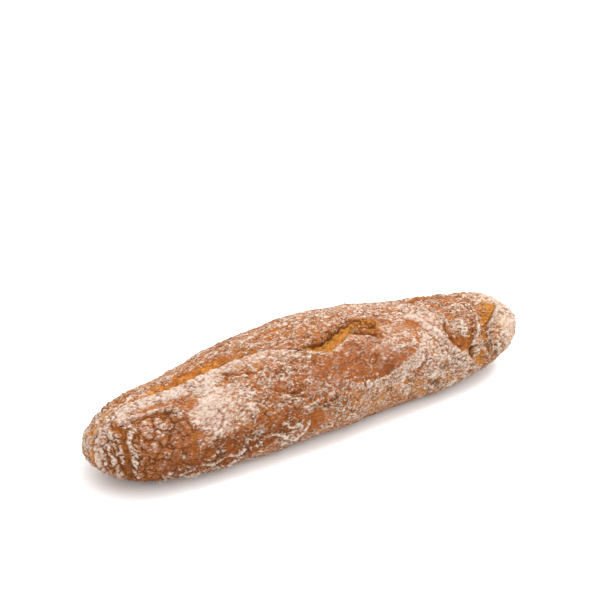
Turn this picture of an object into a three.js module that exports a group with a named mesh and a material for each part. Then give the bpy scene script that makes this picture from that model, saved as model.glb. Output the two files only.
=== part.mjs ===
// A short rustic baguette: one solid loaf with blunt round ends, a flat base and a waisted, gently
// bowed body. One long cut runs along the crown and has opened in the oven: a raised lip on its -Y
// side, a gentle slope on its +Y side, a deep tear at mid length and a small tear near the +X end.
// Millimetres, +X along the loaf, +Z up, origin at the middle of the base's box.
import * as THREE from 'three';

// Driving dimensions.
const LENGTH = 360;
// Half widths, crown heights and sideways drift of the centre line, evenly spaced from -X to +X.
// The end values belong to the outline before the ends are rounded off.
const HALF_WIDTHS = [47, 43, 41, 44, 45.5, 42, 39.5, 41, 50];
const CROWN_HEIGHTS = [61, 56, 55, 59, 62, 60, 55, 59, 65];
const CENTRE_DRIFT = [-4.5, -3, 1, 5, 3, 1, -2];

// Rounding of the two ends: a higher power makes a blunter end.
const END_POWER_NEAR = 3.1;
const END_POWER_FAR = 3.3;
// The section is a superellipse whose widest line lies at this share of the crown height.
const SECTION_POWER = 2.2;
const WIDEST_SHARE = 0.42;
// The underside would reach this far below the floor. It is flattened there, with a soft edge.
const BASE_SINK = 9;
const BASE_BLEND = 5;

// The long cut: its arc distance from the crown line, positive toward -Y, and its depth.
const CUT_PLACE = [6, -8, -5, -3, -2, 0, 12, 12, 6, 8, 10];
const CUT_DEPTH = [3, 4.5, 4.5, 4, 3.5, 3, 4, 3, 1, 0.4, 0];
const CUT_SLOPE_WIDTH = 13;
const CUT_WALL_WIDTH = 2.6;
const LIP_WIDTH = 9;
const LIP_HEIGHT_SHARE = 0.4;
// Below 1, this moves the lip's crest toward the cut.
const LIP_CREST_POWER = 0.6;

// Tears and hollows: x, arc from the crown, half length, half width, depth.
const HOLLOWS = [
  { x: 6, arc: 15, halfLength: 24, halfWidth: 7, depth: 3 },
  { x: 146, arc: 14, halfLength: 9, halfWidth: 14, depth: 2.5 },
  { x: 120, arc: 38, halfLength: 10, halfWidth: 7, depth: 2 },
  { x: 88, arc: 24, halfLength: 16, halfWidth: 12, depth: 1.2 },
];

// Mesh density. The around steps are closest beside the cut: arc distances from its bottom line.
const STEPS_ALONG = 72;
const STEPS_BESIDE_CUT = [-20, -15, -10, -6, -2.5, 0, 2, 4.5, 8, 12];
const STEPS_FAR_AROUND = 30;
// Toward the ends the close steps shrink, to take no more than this share of the girth.
const CLOSE_STEPS_SHARE = 0.3;
const SECTION_SAMPLES = 360;

// A smooth Catmull-Rom curve through evenly spaced stations, read at t from 0 to 1. Between b and c
// the cubic's end slopes are half the gap between the neighbours. Past an end the line runs straight.
function through(stations, t) {
  const last = stations.length - 1;
  const at = THREE.MathUtils.clamp(t, 0, 1) * last;
  const i = Math.min(Math.floor(at), last - 1);
  const f = at - i;
  const b = stations[i];
  const c = stations[i + 1];
  const a = i > 0 ? stations[i - 1] : 2 * b - c;
  const d = i + 2 <= last ? stations[i + 2] : 2 * c - b;
  const curve = (2 * a - 5 * b + 4 * c - d) * f + (3 * b - a - 3 * c + d) * f * f;
  return b + 0.5 * f * (c - a + curve);
}

// Sine and cosine raised so that a circle becomes a superellipse.
function rounded(value) {
  return Math.sign(value) * Math.abs(value) ** (2 / SECTION_POWER);
}

// Lifts everything below the floor onto it. A parabola over the blend joins the floor to the side.
function flattened(z) {
  if (z <= -BASE_BLEND) return 0;
  if (z >= BASE_BLEND) return z;
  return (z + BASE_BLEND) ** 2 / (4 * BASE_BLEND);
}

// One point of the plain loaf. Angle 0 is the crown, and it grows toward -Y.
function skinPoint(x, angle) {
  const across = x / (LENGTH / 2);
  const t = (across + 1) / 2;
  const power = across < 0 ? END_POWER_NEAR : END_POWER_FAR;
  const end = Math.sqrt(Math.max(0, 1 - Math.abs(across) ** power));
  const height = through(CROWN_HEIGHTS, t);
  const middle = WIDEST_SHARE * height;
  const side = rounded(Math.sin(angle));
  const up = rounded(Math.cos(angle));
  const reach = up > 0 ? height - middle : middle + BASE_SINK;
  const y = through(CENTRE_DRIFT, t) - through(HALF_WIDTHS, t) * end * side;
  return new THREE.Vector3(x, y, flattened(middle + reach * end * up));
}

// The section at x as points, with each point's arc distance from the crown.
function section(x) {
  const points = [];
  const arcs = [0];
  for (let i = 0; i <= SECTION_SAMPLES; i += 1) {
    const angle = (i / SECTION_SAMPLES) * 2 * Math.PI;
    points.push(skinPoint(x, angle));
    if (i > 0) arcs.push(arcs[i - 1] + points[i].distanceTo(points[i - 1]));
  }
  return { points, arcs, girth: arcs[SECTION_SAMPLES] };
}

// The section's point at an arc distance from the crown, wrapping round, and its outward normal.
function atArc(ring, arc) {
  const wrapped = ((arc % ring.girth) + ring.girth) % ring.girth;
  let i = ring.arcs.findIndex((value) => value > wrapped) - 1;
  if (i < 0) i = SECTION_SAMPLES - 1;
  const step = ring.arcs[i + 1] - ring.arcs[i];
  const point = ring.points[i].clone().lerp(ring.points[i + 1], (wrapped - ring.arcs[i]) / step);
  const run = ring.points[i + 1].clone().sub(ring.points[i]);
  const normal = new THREE.Vector3(0, -run.z, run.y).normalize();
  return { point, normal: normal.negate() };
}

// How far the skin moves outward at an arc distance from the cut's bottom line: a parabolic slope
// behind it, a parabolic wall in front, and half a sine wave for the lip.
function cutRelief(fromCut, depth) {
  if (fromCut <= 0) {
    const back = Math.min(1, -fromCut / CUT_SLOPE_WIDTH);
    return -depth * (1 - back) ** 2;
  }
  const front = Math.min(1, fromCut / LIP_WIDTH);
  const lip = LIP_HEIGHT_SHARE * depth * Math.sin(Math.PI * front ** LIP_CREST_POWER);
  return lip - depth * Math.max(0, 1 - fromCut / CUT_WALL_WIDTH) ** 2;
}

// The hollows' shared relief at a place on the skin.
function hollowRelief(x, arc) {
  return HOLLOWS.reduce((sum, hollow) => {
    const along = (x - hollow.x) / hollow.halfLength;
    const around = (arc - hollow.arc) / hollow.halfWidth;
    return sum - hollow.depth * Math.exp(-(along * along + around * around));
  }, 0);
}

// One ring of the loaf's mesh at x: the close steps beside the cut, then even steps for the rest.
function ringAt(x) {
  const t = x / LENGTH + 0.5;
  const ring = section(x);
  const depth = through(CUT_DEPTH, t);
  const lastStep = STEPS_BESIDE_CUT[STEPS_BESIDE_CUT.length - 1];
  const fullArc = lastStep - STEPS_BESIDE_CUT[0];
  const shrink = Math.min(1, (CLOSE_STEPS_SHARE * ring.girth) / fullArc);
  const place = through(CUT_PLACE, t) * shrink;
  const start = lastStep * shrink;
  const rest = ring.girth - fullArc * shrink;
  const offsets = STEPS_BESIDE_CUT.map((step) => step * shrink);
  for (let i = 1; i < STEPS_FAR_AROUND; i += 1) {
    offsets.push(start + (rest * i) / STEPS_FAR_AROUND);
  }
  return offsets.map((offset) => {
    const signed = offset > ring.girth / 2 ? offset - ring.girth : offset;
    const { point, normal } = atArc(ring, place + offset);
    const relief = cutRelief(signed / shrink, depth) + hollowRelief(x, place + signed);
    point.addScaledVector(normal, relief * shrink);
    point.z = Math.max(0, point.z);
    return point;
  });
}

// The loaf's closed mesh: rings from end to end, closed by a fan at each end's tip.
function loafGeometry() {
  const rings = [];
  for (let i = 1; i < STEPS_ALONG; i += 1) {
    rings.push(ringAt((-Math.cos((i / STEPS_ALONG) * Math.PI) * LENGTH) / 2));
  }
  const tips = [skinPoint(-LENGTH / 2, 0), skinPoint(LENGTH / 2, 0)];
  const points = [tips[0], ...rings.flat(), tips[1]];
  const around = rings[0].length;
  const faces = [];
  for (let j = 0; j < around; j += 1) {
    const next = (j + 1) % around;
    faces.push(0, 1 + next, 1 + j);
    for (let i = 0; i < rings.length - 1; i += 1) {
      const here = 1 + i * around;
      const there = here + around;
      faces.push(here + j, here + next, there + j, here + next, there + next, there + j);
    }
    const lastRing = 1 + (rings.length - 1) * around;
    faces.push(lastRing + j, lastRing + next, points.length - 1);
  }
  const geometry = new THREE.BufferGeometry().setFromPoints(points);
  geometry.setIndex(faces);
  return geometry;
}

// Puts the middle of the loaf's box over the origin.
function centred(geometry) {
  geometry.computeBoundingBox();
  const box = geometry.boundingBox;
  geometry.translate(-(box.min.x + box.max.x) / 2, -(box.min.y + box.max.y) / 2, -box.min.z);
  geometry.computeVertexNormals();
  return geometry;
}

const crust = new THREE.MeshStandardMaterial({ color: 0xb87c4c, roughness: 0.85, metalness: 0 });

const loaf = new THREE.Mesh(centred(loafGeometry()), crust);
loaf.name = 'loaf';

const group = new THREE.Group();
group.add(loaf);

export default group;
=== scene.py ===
"""A short rustic baguette on a pale studio floor.

The loaf is one surface on a grid. A plain skin comes from a few stations along the loaf. On it lie
the long cut with its raised lip, the tears, folds, creases and crackle, all as relief. The flour,
the baking, the bared crumb and the painted shade in cracks, creases and gaps and under ridges and
flakes are attributes of the points, and the crust's material reads them. Low on the -Y side the
baking also holds painted shade.
Lengths in the tables are millimetres. A place on the skin is (x, arc): the distance along the loaf
and the distance round it from the crown, positive toward -Y.
"""
import math

import bpy
import numpy as np
from mathutils import Matrix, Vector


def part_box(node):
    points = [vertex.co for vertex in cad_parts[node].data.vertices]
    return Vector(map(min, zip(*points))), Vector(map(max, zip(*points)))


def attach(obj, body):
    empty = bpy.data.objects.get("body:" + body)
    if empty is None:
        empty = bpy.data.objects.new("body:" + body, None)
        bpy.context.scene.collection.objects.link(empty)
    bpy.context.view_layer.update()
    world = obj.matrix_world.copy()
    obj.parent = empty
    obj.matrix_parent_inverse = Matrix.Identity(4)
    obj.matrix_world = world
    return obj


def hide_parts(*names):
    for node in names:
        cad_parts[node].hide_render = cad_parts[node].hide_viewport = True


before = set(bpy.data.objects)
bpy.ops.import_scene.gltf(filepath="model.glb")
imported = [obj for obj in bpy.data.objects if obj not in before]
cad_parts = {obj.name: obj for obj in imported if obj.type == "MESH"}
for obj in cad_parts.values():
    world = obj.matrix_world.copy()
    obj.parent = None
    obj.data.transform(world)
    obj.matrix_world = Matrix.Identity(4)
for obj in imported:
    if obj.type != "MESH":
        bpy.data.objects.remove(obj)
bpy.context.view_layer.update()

bl_info = {
    "name": "Rustic baguette",
    "version": (1, 0, 0),
    "blender": (4, 5, 0),
    "location": "View3D > Sidebar > Bread",
    "description": "Makes a floured rustic baguette and the pale floor it lies on",
    "category": "Add Mesh",
}

MM = 0.001
LOAF_LOW, LOAF_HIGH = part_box("loaf")
LENGTH = (LOAF_HIGH[0] - LOAF_LOW[0]) / MM

# The plain skin: half widths, crown heights and sideways drift, evenly spaced from -X to +X. A
# higher end power makes a blunter end. Sections are superellipses, widest at a share of their
# height, whose underside reaches below the floor and is flattened onto it with a soft edge.
HALF_WIDTHS = (47, 43, 41, 44, 45.5, 42, 39.5, 41, 50)
CROWN_HEIGHTS = (61, 56, 55, 59, 62, 60, 55, 59, 65)
CENTRE_DRIFT = (-4.5, -3, 1, 5, 3, 1, -2)
END_POWER_NEAR, END_POWER_FAR = 3.1, 3.3
SECTION_POWER = 2.2
WIDEST_SHARE = 0.42
BASE_SINK, BASE_BLEND = 9, 5
# How far flakes may stand out of the frame's box, as a share of its half length, half width and
# height, and how far each end's tip stands out of its last ring.
SPARE_SHARE = 0.014
TIP_PUSH = 0.1

# Flour and baking before any area is laid, and the flour of the foot and of the base.
PLAIN_FLOUR, PLAIN_BAKE = 0.56, 0.56
FOOT_FLOUR, BASE_FLOUR = 0.82, 0.75
# The flour attribute stores FLOUR_BARE + flour / FLOUR_RANGE, so its 0 to 1 also holds a flour
# below 0 or above 1.
FLOUR_BARE, FLOUR_RANGE = 0.3, 2.2
# How much noise frays the edge of an area.
FRAY = 0.4

# Steps round the loaf, as (arc reached at mid length, steps to get there), from the crown down the
# -Y side, across the base and up the +Y side.
AROUND_SPANS = ((88, 120), (152, 22), (198, 38), (240, 56))
SECTION_SAMPLES = 720
CROWN_SAMPLES = 4001
# Steps between two places of a line, and the distance of all points out of its reach.
LINE_STEPS = 12
FAR_AWAY = 1e3

# The long cut, from the base at the -X end up and over the crown to the tear, with its depths and
# the widths of its slope, evenly spaced.
CUT_LINE = ((-166, 42), (-172, 31), (-176, 22), (-178, 14), (-178, 7), (-175, 2), (-170, -2),
            (-163, -4.5), (-156, -6), (-148, -6.5), (-139, -6.5), (-130, -5), (-119, -4),
            (-109, -3), (-97, -3), (-85, -3), (-72, -2.5), (-62, -1.5), (-52, -0.5), (-42, 1.5),
            (-34, 5), (-26, 9), (-18, 13.5))
CUT_DEPTHS = (2, 2.75, 3.75, 4.5, 4.75, 4.5, 4, 3.5, 2.25)
CUT_WIDTHS = (4, 6, 10, 12, 14, 15, 13, 5, 2)

# The deep tear: its middle line, and its half width at each place of the line.
TEAR_LINE = ((-17, 12.5), (-12, 14), (-6, 17), (1, 17.3), (8, 15.2), (16, 11.4), (23, 8),
             (29, 5.5), (35, 3.5), (41, 3))
TEAR_WIDTHS = (0.4, 2.6, 3.8, 4.4, 4.7, 4.6, 4.3, 3.4, 1.8, 0.4)

# The rubble at the tear's +X end: x, arc, half length, half width.
RUBBLE_AREA = (41, 7.0, 13, 7.5)

# The fin of crust beside the small tear of the +X end.
FIN_LINE = ((161, 5), (157, 11), (150, 17.5), (142, 24.5), (136, 30))

# The floured edge below the bare patch of the middle.
LEAF_LINE = ((84, 10), (82, 18), (79, 25), (72, 31), (66, 35), (56, 40), (48, 44), (41, 46.5),
             (34, 48), (24, 49), (12, 48), (0, 45))

# Lines on the crust: (places, half width, height, flour, painted shade along the line). A negative
# height is a crease.
# Noise breaks up the lines that are lower than UNBROKEN_HEIGHT.
UNBROKEN_HEIGHT = 1.8
LINES = (
    # second crack of the -X end and the ridge beside it
    (((-160, -1), (-161, 5), (-160.5, 11), (-163, 17), (-163.5, 24), (-163.5, 31), (-161, 40),
      (-156, 48), (-150, 57)), 1.4, -2.3, -1.5, 0.35),
    (((-151, 11), (-157, 14), (-160, 19), (-161, 26), (-160, 33), (-157, 44), (-152, 54)),
     1.5, 1.7, 0.7, 0.0),
    # curved ridge below the lip, and the crease above it
    (((-156, 3), (-152, 4), (-146, 6), (-140, 7), (-133, 8), (-128, 10), (-122, 14), (-120, 19)),
     1.9, 1.8, 0.5, 0.0),
    (((-155, 0.5), (-148, 3), (-140, 4), (-132, 5), (-125, 7)), 1.3, -0.5, -0.3, 0.2),
    # notch and wrinkles between the cut and the second crack
    (((-163, -2), (-164, 4), (-163, 8)), 0.9, -1.6, -0.6, 0.9),
    (((-172, 4), (-170, 9), (-171, 15), (-170, 22)), 0.8, -1.3, -0.5, 0.8),
    (((-168, 8), (-167, 15), (-168, 23), (-166, 32), (-163, 40)), 0.9, -1.4, -0.5, 0.8),
    (((-174, 10), (-173, 18), (-171, 28), (-167, 37)), 0.8, -1.1, -0.5, 0.7),
    # creases and curls of the middle
    (((-80, 1), (-74, 5), (-69, 9), (-62, 12), (-55, 14), (-45, 14.5)), 0.9, -1.3, -0.6, 0.9),
    (((-53, 14), (-54.5, 18), (-55, 22), (-52, 26)), 1.2, 1.0, 0.7, 0.0),
    (((-50, 16), (-48, 19), (-49.5, 23)), 1.0, 0.8, 0.6, 0.0),
    (((-56, 29), (-49, 33), (-43, 37), (-36, 41), (-29, 47)), 0.9, -1.0, -0.4, 0.7),
    (((-51, 35), (-46, 39.5), (-40, 43), (-34, 47)), 1.1, 0.8, 0.5, 0.0),
    (((-69, 35), (-66, 40), (-63, 45), (-62, 51)), 0.8, -1.0, -0.4, 0.8),
    (((10, -14), (18, -10), (26, -8), (36, -8)), 1.3, -1.1, -0.5, 0.4),
    (((-30, -18), (-12, -16), (4, -17), (16, -19)), 1.6, -0.8, -0.3, 0.2),
    (((48, 32), (56, 29.5), (65, 28), (74, 27)), 1.3, 0.3, 0.3, 0.0),
    (((42, 27), (52, 25), (62, 22), (72, 20)), 1.5, 0.4, 0.3, 0.0),
    (((30, 30), (38, 34), (42, 40), (44, 45)), 1.8, 0.4, 0.0, 0.0),
    # folds that cross the crown
    (((60, -14), (68, -8), (75, -2), (81, 2), (86, 7), (90, 14), (94, 22), (99, 31), (106, 38),
      (113, 43)), 0.9, 0.9, 0.7, 0.0),
    (((66, -2), (74, 4), (80, 9), (85, 17), (89, 25), (94, 33)), 0.6, -1.1, -0.4, 0.8),
    (((52, -10), (60, -6), (68, -1), (75, 6)), 1.3, 0.7, 0.4, 0.0),
    (((84, -18), (90, -8), (97, 0), (101, 9)), 1.5, 0.8, 0.4, 0.0),
    # cracks beside the tear
    (((24, 11), (30, 13), (35, 14), (40, 16), (46, 18)), 1.1, -3.0, -0.9, 1.0),
    (((32, -1), (37, 1), (42, 4)), 0.9, -2.2, -0.8, 1.0),
    # the knot of the +X end: hollow edge, flap and fin
    (((110, 11), (105, 16), (102.5, 22), (103.5, 29), (107, 34), (113, 39)), 1.3, -1.6, -0.6, 0.8),
    (((136, 14), (132, 20), (130, 25), (127, 30), (122, 35), (115, 41)), 0.9, 1.9, 1.6, 0.0),
    (((133, 13), (128.5, 20), (126, 25), (123, 30), (118, 35)), 1.2, -1.5, -0.8, 0.7),
    (((122, 38), (118, 41), (119, 46)), 1.8, -3.6, -1.2, 1.0),
    (((112, 6), (118, 4), (125, 4), (131, 6)), 1.4, 1.2, 1.0, 0.0),
    (((114, 10), (120, 9), (126, 10)), 1.2, 1.0, 0.9, 0.0),
    (((106, 9), (108, 14), (107, 19)), 1.3, 1.1, 0.9, 0.0),
    # swirls low on the -Y side
    (((-77, 62), (-71, 61), (-66, 58), (-58, 60), (-49, 67), (-41, 73), (-34, 70), (-30, 64),
      (-31, 59)), 0.9, 1.8, 1.3, 0.0),
    (((-54, 55), (-50, 56), (-46, 60), (-40, 63)), 1.1, 1.8, 1.3, 0.0),
    (((-58, 65), (-51, 71), (-44, 76), (-38, 78)), 0.9, 1.2, 1.3, 0.0),
    (((-42, 58), (-38, 62), (-36, 66)), 1.0, 1.2, 1.2, 0.0),
    (((-136, 57), (-126, 59), (-116, 57), (-106, 60), (-96, 58), (-86, 61), (-78, 58)),
     0.8, 1.9, 1.5, 0.0),
    (((-128, 66), (-116, 67), (-104, 65), (-92, 68), (-82, 66), (-74, 69)),
     0.8, 1.8, 1.4, 0.0),
    (((128, 40), (133, 45), (131, 52), (126, 57)), 1.0, 0.9, 0.8, 0.0),
    (((142, 36), (147, 41), (146, 48)), 1.0, 0.9, 0.8, 0.0),
    # the far side
    (((-130, -38), (-112, -33), (-95, -36), (-80, -44)), 1.3, 0.9, 0.5, 0.0),
    (((-40, -52), (-28, -44), (-10, -42), (8, -48)), 1.0, -1.3, -0.4, 0.8),
    (((30, -34), (44, -42), (52, -54), (54, -66)), 1.3, 1.0, 0.6, 0.0),
    (((90, -52), (104, -46), (118, -50), (126, -60)), 1.0, -1.2, -0.4, 0.8),
    (((-158, -24), (-150, -36), (-148, -50)), 1.4, -1.4, -0.6, 0.4),
)

# Broad hollows and lumps: x, arc, half length, half width, height.
SWELLS = (
    (116, 25, 13, 13, -2), (117.5, 22, 4, 5.5, 2.2), (145, 17, 9, 8, -2.2), (88, 24, 14, 12, -1),
    (-98, 22, 22, 16, 0.8), (20, 34, 34, 14, 0.9), (44, 10, 2.2, 2.2, -2.6),
    (-4, 10.5, 4, 2.6, 2.6),
    (-12, 10.5, 2.5, 2, 1.8), (5, 12, 3, 2, 1.6), (13, 8.5, 3, 2.2, 2.0), (22, 5, 3, 2, 2.2),
    (124, 46, 6, 5, 1.2), (60, -30, 30, 14, 0.8), (-60, -45, 30, 16, 0.9), (136, -30, 16, 14, -1.0),
)

# Flour by place, each laid over those before: x, arc, half length, half width, flour.
FLOUR_AREAS = (
    (-70, -21, 80, 12, 0.59), (-158, -14, 16, 10, 0.85), (-140, 6, 22, 6, 1.1),
    (30, -18, 50, 12, 0.77), (-136, 28, 32, 26, 0.38),
    (-135, 44, 20, 8, 0.30), (-97, 24, 21, 17, 0.87), (-76, 28, 14, 15, 0.76),
    (-94, 4, 15, 6, 1.0), (-111, 11, 7, 7, 0.45), (-95, 56, 58, 12, 0.0), (-60, 57, 28, 8, 0.2),
    (-150, 54, 20, 9, 0.12), (-173, 22, 9, 34, 0.95), (-45, 30, 22, 16, 0.52),
    (-24, 44, 10, 8, 0.5),
    (-26, 64, 9, 10, 0.0), (-66, 47, 5, 7, 0.1), (-32, 8, 14, 6, 0.62), (-14, 24, 13, 6, 0.44),
    (20, 34, 42, 13, 0.36), (50, 25, 24, 13, 0.52), (12, 37, 11, 5, 0.3), (-4, 55, 18, 9, 0.6),
    (60, 60, 50, 10, 0.55), (90, 8, 15, 30, 0.78), (76, 17, 10, 9, 0.66), (78, 12, 7, 4, 0.35),
    (106, -13, 17, 3.5, 0.16),
    (105, 46, 30, 14, 0.96), (115, 25, 14, 14, 0.58), (113, 34, 8, 5, 0.15),
    (117.5, 22, 4.6, 6.6, 1.3),
    (120, 6, 10, 7, 0.34), (130, 47, 11, 6, 0.05), (112, 57, 14, 6, 0.65), (166, 15, 14, 40, 1.08),
    (-90, -58, 42, 18, 0.84), (-12, -50, 30, 16, 0.3), (62, -58, 34, 18, 0.8),
    (126, -42, 22, 18, 0.36), (30, -78, 60, 9, 0.3), (-150, -45, 18, 22, 0.5),
)

# How far the crust is baked, from 0 golden to 1 dark: x, arc, half length, half width, baking.
# The area at x -95, arc 57, low on the -Y side, is darker partly as painted shade.
BAKE_AND_SHADE_AREAS = (
    (20, 33, 44, 15, 0.86), (-14, 23, 12, 5, 0.62), (113, 33, 10, 7, 0.72), (106, -13, 17, 4, 0.62),
    # (-95, 57): baking, and painted shade on the low -Y side.
    (-95, 57, 62, 14, 0.8), (130, 47, 14, 8, 0.36), (-26, 65, 12, 11, 0.66), (60, 62, 60, 9, 0.32),
    (-138, 34, 28, 20, 0.75), (-45, 32, 30, 18, 0.72), (-12, -50, 30, 16, 0.64),
    (126, -42, 22, 18, 0.4), (166, 20, 16, 40, 0.12),
)

# Zones of strong crackle and of curled flakes: x, arc, half length, half width.
CRACKLE_AREAS = ((-150, 28, 34, 36), (-150, -40, 24, 24), (120, -50, 30, 26), (-60, -60, 30, 20))
FLAKE_AREAS = ((-80, 60, 80, 14), (140, 30, 44, 44), (90, 58, 60, 14), (-10, 62, 40, 14),
               (113, 26, 18, 20), (40, -66, 70, 20))
# Where the crust stays smooth. The first is the bare patch of the middle.
BARE_PATCH = (22, 33, 42, 14)
SMOOTH_AREAS = (BARE_PATCH, (70, 20, 20, 12), (-112, 10, 8, 8), (-134, 1, 24, 7),
                (-96, 20, 20, 14), (-27, 64, 9, 9), (-60, 64, 6, 5))
# Where the flour lies as an even soft veil.
SOFT_AREAS = ((-96, 22, 22, 16), (-172, 22, 12, 34), (-146, 30, 28, 26), (-90, 2, 40, 7),
              (-45, 6, 30, 6), (170, 10, 14, 36), (-135, 0, 26, 8), (92, 16, 16, 16),
              (50, 15, 24, 12), (22, 34, 42, 13))

# Plates of crackle, coarse and fine: size, height, weight in the flour's islands, share in the
# plates' tops, seed.
PLATES = ((9.0, 1.2, 0.5, 0.75, 71), (4.4, 0.3, 0.42, 0.25, 72))
# How the plates are drawn out at the -X end: the added scale on each axis.
END_STRETCH = (0.1, 0.0, -0.6)
# Curled flakes and wrinkles, long and short: size of the noise, half width of its zero line, seed.
FLAKES = ((10, 0.06, 81), (5.5, 0.085, 84))
WRINKLES = ((11, 0.040, 101), (6, 0.055, 104))

# The points' attributes that the material reads.
MASKS = ("flour", "dust", "soft", "flake", "bake", "crack", "crumb")
# Free edge of the loaf's flat map.
MAP_MARGIN = 0.01

# The material's detail: contrast of the flour's speckle and of the film's, half width of the
# hairline seams in their noise, the shift that puts a shade under each fine flake, and the height
# of the bump, in metres.
FLOUR_SPECKLE, FILM_SPECKLE = 5.2, 2.6
SEAM_WIDTH = 0.016
SHADE_SHIFT = (0, 0.0005, 0.0009)
BUMP_HEIGHT = 0.0012

# The stage, in metres: the floor's half side and how far it lies under the loaf, the lamp's place,
# target and side, and the sky's brightness at the horizon and its rise toward the top.
FLOOR_HALF, FLOOR_DROP = 8.0, 0.0003
LAMP_PLACE, LAMP_TARGET, LAMP_SIDE = (0.75, 0.15, 1.2), (0, 0, 0.03), 0.7
SKY_LEVEL, SKY_RISE = 0.4, 1.5
# The camera turns about a point at this share of the loaf's height.
TURN_HEIGHT_SHARE = 0.45
SENSOR_WIDTH = 36


# ---- curves, steps and noise ----


def through(stations, t):
    """Catmull-Rom: between two stations, the cubic whose end slopes are half the neighbours' gap.
    Past the last stations the line runs straight."""
    values = np.asarray(stations, float)
    ends = 2 * values[[0, -1]] - values[[1, -2]]
    values = np.concatenate([ends[:1], values, ends[1:]])
    at = np.clip(t, 0, 1) * (len(values) - 3)
    i = np.minimum(at.astype(int), len(values) - 4)
    f = at - i
    a, b, c, d = (values[i + k] for k in range(4))
    return b + 0.5 * f * (c - a + (2 * a - 5 * b + 4 * c - d) * f + (3 * b - a - 3 * c + d) * f * f)


def ease(low, high, value):
    """Smooth step: 0 below low, 1 above high, 3t squared minus 2t cubed between."""
    t = np.clip((value - low) / (high - low), 0, 1)
    return t * t * (3 - 2 * t)


def bell(value, width):
    """Gaussian: 1 at zero, falling as e to the minus (value / width) squared."""
    return np.exp(-(value / width) ** 2)


def scramble(ix, iy, iz, seed):
    """A repeatable whole number from 0 to 2^24 for each lattice cell, by multiply and shift."""
    h = ix * 374761393 + iy * 668265263 + iz * 2147483647 + seed * 1274126177
    h = (h ^ (h >> 13)) * 1274126177
    h = (h ^ (h >> 16)) * 1103515245
    return (h ^ (h >> 15)) & 0xFFFFFF


def noise(point, size, seed):
    """Gradient noise of about -1 to 1: eight corner slopes blended by the quintic ease."""
    scaled = point / size
    cell = np.floor(scaled).astype(np.int64)
    f = scaled - cell
    blend = f * f * f * (f * (f * 6 - 15) + 10)
    slopes = np.random.default_rng(seed).normal(size=(256, 3))
    slopes /= np.linalg.norm(slopes, axis=1, keepdims=True)
    total = 0.0
    for corner in np.ndindex(2, 2, 2):
        slope = slopes[scramble(*(cell + corner).T, seed) & 255]
        share = np.prod(np.where(corner, blend, 1 - blend), axis=1)
        total = total + share * np.sum(slope * (f - corner), axis=1)
    return 1.7 * total


def layered(point, size, seed, layers=4, fade=0.5):
    """Noise summed over layers, each half the size and fade times the height of the last."""
    heights = fade ** np.arange(layers)
    parts = [h * noise(point, size / 2 ** k, seed + k) for k, h in enumerate(heights)]
    return np.sum(parts, axis=0) / heights.sum()


def cells(point, size, seed):
    """Worley cells: distances to the nearest and next nearest scattered centre, and a number for
    the nearest."""
    scaled = point / size
    home = np.floor(scaled).astype(np.int64)
    first = np.full(len(point), 9.0)
    second = np.full(len(point), 9.0)
    owner = np.zeros(len(point), np.int64)
    for step in np.ndindex(3, 3, 3):
        cell = home + np.array(step) - 1
        spots = np.stack([scramble(*cell.T, seed + k) for k in range(3)], axis=1)
        gap = np.linalg.norm(cell + spots / 0xFFFFFF - scaled, axis=1)
        closer = gap < first
        second = np.where(closer, first, np.minimum(second, gap))
        owner = np.where(closer, spots[:, 0], owner)
        first = np.where(closer, gap, first)
    return first, second, owner / 0xFFFFFF


# ---- the plain skin ----


def superellipse(value):
    """Sine or cosine raised to 2 / power, sign kept, so that a circle becomes a superellipse."""
    return np.sign(value) * np.abs(value) ** (2 / SECTION_POWER)


def skin_point(x, angle):
    """Superellipse sections whose size falls to nothing at both ends, flattened onto the floor."""
    across = np.clip(x / (LENGTH / 2), -1, 1)
    t = (across + 1) / 2
    power = np.where(across < 0, END_POWER_NEAR, END_POWER_FAR)
    end = np.sqrt(np.clip(1 - np.abs(across) ** power, 0, 1))
    height = through(CROWN_HEIGHTS, t)
    middle = WIDEST_SHARE * height
    side = superellipse(np.sin(angle))
    up = superellipse(np.cos(angle))
    y = through(CENTRE_DRIFT, t) - through(HALF_WIDTHS, t) * end * side
    z = middle + np.where(up > 0, height - middle, middle + BASE_SINK) * end * up
    soft = (z + BASE_BLEND) ** 2 / (4 * BASE_BLEND)
    z = np.where(z <= -BASE_BLEND, 0, np.where(z >= BASE_BLEND, z, soft))
    return np.stack(np.broadcast_arrays(x, y, z), axis=-1)


def on_skin(x, arc):
    """The skin's points at (x, arc), any shape: each section is measured round, then read back."""
    x, arc = np.broadcast_arrays(np.asarray(x, float), np.asarray(arc, float))
    rows, back = np.unique(x.ravel(), return_inverse=True)
    angle = np.linspace(0, 2 * np.pi, SECTION_SAMPLES + 1)
    section = skin_point(rows[:, None], angle[None, :])
    steps = np.linalg.norm(np.diff(section, axis=1), axis=2)
    arcs = np.concatenate([np.zeros((len(rows), 1)), np.cumsum(steps, axis=1)], axis=1)
    girth = arcs[:, -1]
    shift = 10 * girth.max() * np.arange(len(rows))
    wanted = arc.ravel() % np.maximum(girth[back], 1e-6) + shift[back]
    known = (arcs + shift[:, None]).ravel()
    place = [np.interp(wanted, known, section[..., k].ravel()) for k in (1, 2)]
    return np.stack([x.ravel(), *place], axis=-1).reshape(x.shape + (3,)), girth


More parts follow.
